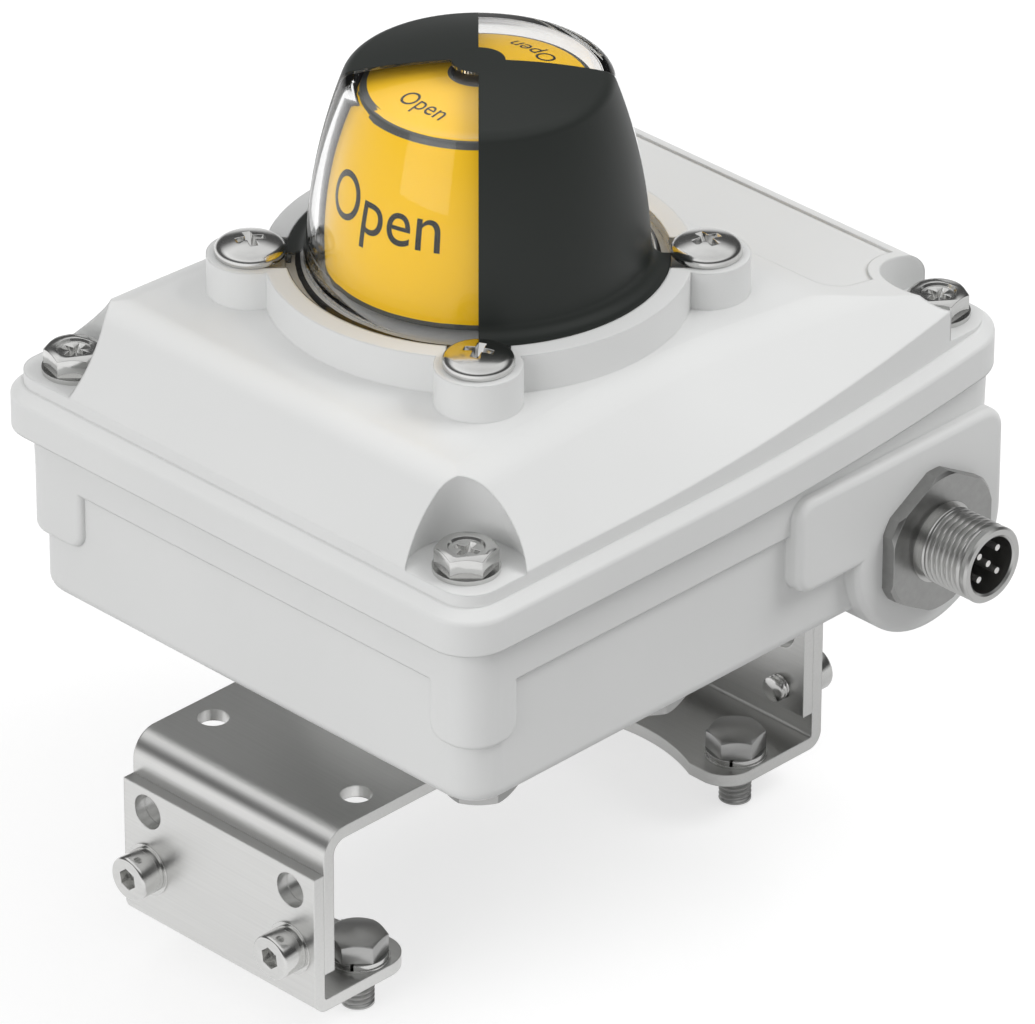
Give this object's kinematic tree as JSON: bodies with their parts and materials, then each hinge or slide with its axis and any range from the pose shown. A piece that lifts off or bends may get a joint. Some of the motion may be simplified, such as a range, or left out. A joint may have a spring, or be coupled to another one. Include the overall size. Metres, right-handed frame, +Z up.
{
  "type": "valve limit switch box",
  "caption": "Limit switch box with a domed quarter-turn position indicator, screwed lid, round plug connector and angle brackets for a valve actuator.",
  "frame": {"origin": "centre of the foot screw pattern on the underside of the feet, on the shaft axis", "axes": "+Z up along the shaft, +X along the box toward the connector end, the plug points to -Y"},
  "size_m": [0.1194, 0.1106, 0.1355],
  "materials": {
    "housing_coat": "light grey powder coat, satin",
    "seal_rubber": "black, matte",
    "stainless": "bright, fine brushed",
    "clear_shell": "clear polycarbonate",
    "dome_black": "satin",
    "drum_grey": "dark grey, satin",
    "panel_yellow": "satin",
    "panel_red": "satin",
    "plated": "nickel plated, bright",
    "insert_black": "satin",
    "pin_metal": "gold plated",
    "bush_bronze": "satin",
    "board_green": "satin",
    "terminal_green": "satin",
    "sensor_blue": "satin",
    "cam_yellow": "satin",
    "cam_red": "satin"
  },
  "bodies": {
    "housing": {"housing_base": "housing_coat", "housing_lid": "housing_coat", "lid_gasket": "seal_rubber", "lid_screws": "stainless", "lid_screw_washers": "stainless", "dome_clear": "clear_shell", "dome_mask": "dome_black", "dome_seal": "seal_rubber", "dome_screws": "stainless", "shaft_bush": "bush_bronze", "sensor_lower": "sensor_blue", "sensor_upper": "sensor_blue", "circuit_board": "board_green", "board_screws": "stainless", "terminal_strip": "terminal_green", "connector_flange": "plated", "connector_body": "plated", "connector_insert": "insert_black", "connector_pins": "pin_metal", "connector_seal": "seal_rubber", "top_angle_left": "stainless", "top_angle_right": "stainless", "foot_angle_left": "stainless", "foot_angle_right": "stainless", "hub_screws": "stainless", "hub_spring_washers": "stainless", "foot_screws": "stainless", "foot_spring_washers": "stainless", "foot_flat_washers": "stainless", "side_screws": "stainless", "side_screw_washers": "stainless"},
    "rotor": {"shaft": "stainless", "indicator_drum": "drum_grey", "indicator_open_panels": "panel_yellow", "indicator_closed_panels": "panel_red", "indicator_screw": "stainless", "shaft_retaining_rings": "stainless", "shaft_seals": "seal_rubber"},
    "lower_cam": {"cam_lower": "cam_red", "cam_target_lower": "stainless"},
    "upper_cam": {"cam_upper": "cam_yellow", "cam_target_upper": "stainless"}
  },
  "joints": [
    {"name": "shaft_turn", "type": "hinge", "parent": "housing", "child": "rotor", "pos_m": [0, 0, 0.045], "axis": [0, 0, 1], "range_deg": [-90, 0]},
    {"name": "lower_cam_set", "type": "hinge", "parent": "rotor", "child": "lower_cam", "pos_m": [0, 0, 0.055], "axis": [0, 0, 1], "range_deg": [-45, 45]},
    {"name": "upper_cam_set", "type": "hinge", "parent": "rotor", "child": "upper_cam", "pos_m": [0, 0, 0.061], "axis": [0, 0, 1], "range_deg": [-45, 45]}
  ]
}
